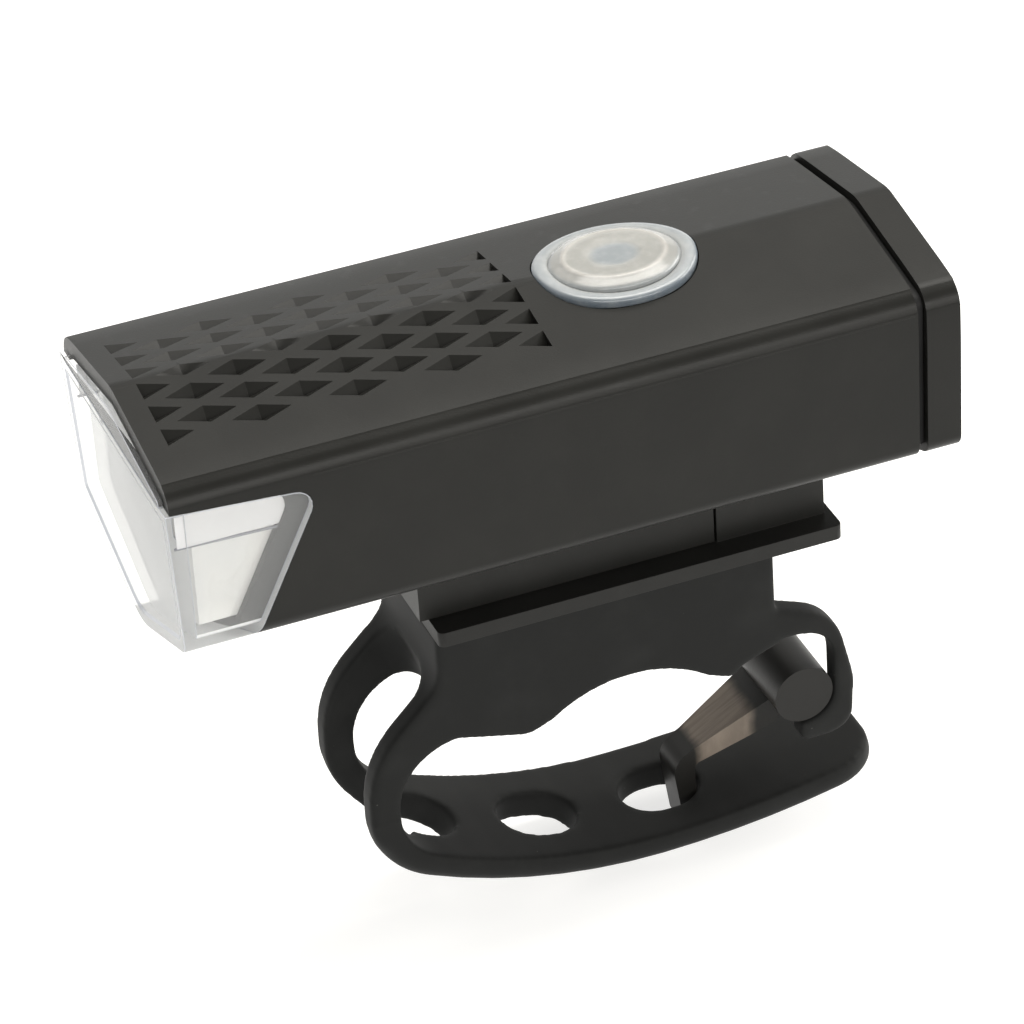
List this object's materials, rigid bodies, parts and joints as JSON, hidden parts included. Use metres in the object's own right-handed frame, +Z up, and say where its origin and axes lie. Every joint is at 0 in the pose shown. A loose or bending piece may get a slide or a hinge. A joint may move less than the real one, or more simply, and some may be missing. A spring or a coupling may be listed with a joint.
{
  "type": "bike headlight",
  "caption": "Bicycle headlight with a lozenge-patterned roof, wrap-round clear lens and translucent button, on a slide bracket held to the handlebar by a silicone strap and hook",
  "frame": {"origin": "on the axis of the handlebar, at the middle of the strap's width", "axes": "+X along the handlebar, +Y from the lens towards the rear cap, +Z up from the handlebar to the light"},
  "size_m": [0.0368, 0.0917, 0.0797],
  "materials": {
    "shell_black": "satin black moulding with a fine spark-eroded grain",
    "bracket_black": "satin black moulding",
    "clear_lens": "clear polished polycarbonate",
    "white_reflector": "smooth white moulding",
    "led_yellow": "phosphor package under a clear dome",
    "board_white": "white solder mask on an aluminium core",
    "screw_steel": "zinc plated pan heads",
    "screw_black": "black oxide pan heads",
    "sink_metal": "plain stamped aluminium",
    "cell_wrap": "shrink-wrap sleeve",
    "tab_nickel": "spot-welded nickel strip",
    "cradle_grey": "plain dark moulding",
    "board_green": "green solder mask",
    "chip_black": "epoxy packages",
    "indicator": "small clear indicator lamps",
    "port_metal": "folded plated shell",
    "lead_red": "soft insulated wire",
    "lead_black": "soft insulated wire",
    "button_milky": "milky translucent dome with a soft dish",
    "rim_smoky": "smoky translucent rim",
    "silicone_black": "matte black silicone with soft outer edges",
    "hook_plastic": "satin brown-grey moulding"
  },
  "bodies": {
    "bracket": {"strap": "silicone_black", "hook": "hook_plastic", "bracket_base": "bracket_black"},
    "light": {"housing": "shell_black", "lens": "clear_lens", "reflector": "white_reflector", "led_emitter": "led_yellow", "led_board": "board_white", "led_screws": "screw_steel", "heat_sink": "sink_metal", "battery_cells": "cell_wrap", "cell_tabs": "tab_nickel", "cell_cradle": "cradle_grey", "circuit_board": "board_green", "board_parts": "chip_black", "charge_leds": "indicator", "tact_switch": "chip_black", "usb_socket": "port_metal", "led_leads": "lead_red", "cell_leads": "lead_black", "button_rim": "rim_smoky", "cap_seal": "silicone_black", "rear_cap": "shell_black", "cap_screws": "screw_black", "shoe": "bracket_black", "shoe_screws": "screw_steel"},
    "press_button": {"button": "button_milky"},
    "plunger": {"switch_plunger": "chip_black"},
    "port_cover": {"usb_cover": "silicone_black"}
  },
  "joints": [
    {"name": "light_slide", "type": "slide", "parent": "bracket", "child": "light", "axis": [0, -1, 0], "range_m": [0, 0.03]},
    {"name": "button_press", "type": "slide", "parent": "light", "child": "press_button", "axis": [0, 0, -1], "range_m": [0, 0.0005], "stiffness_N_per_m": 2000},
    {"name": "plunger_press", "type": "slide", "parent": "light", "child": "plunger", "axis": [0, 0, -1], "range_m": [0, 0.0005]},
    {"name": "usb_cover_hinge", "type": "hinge", "parent": "light", "child": "port_cover", "pos_m": [0, 0.0367, 0.05845], "axis": [1, 0, 0], "range_deg": [0, 100]}
  ],
  "couplings": [
    {"joint": "plunger_press", "follows": "button_press", "ratio": 1}
  ]
}
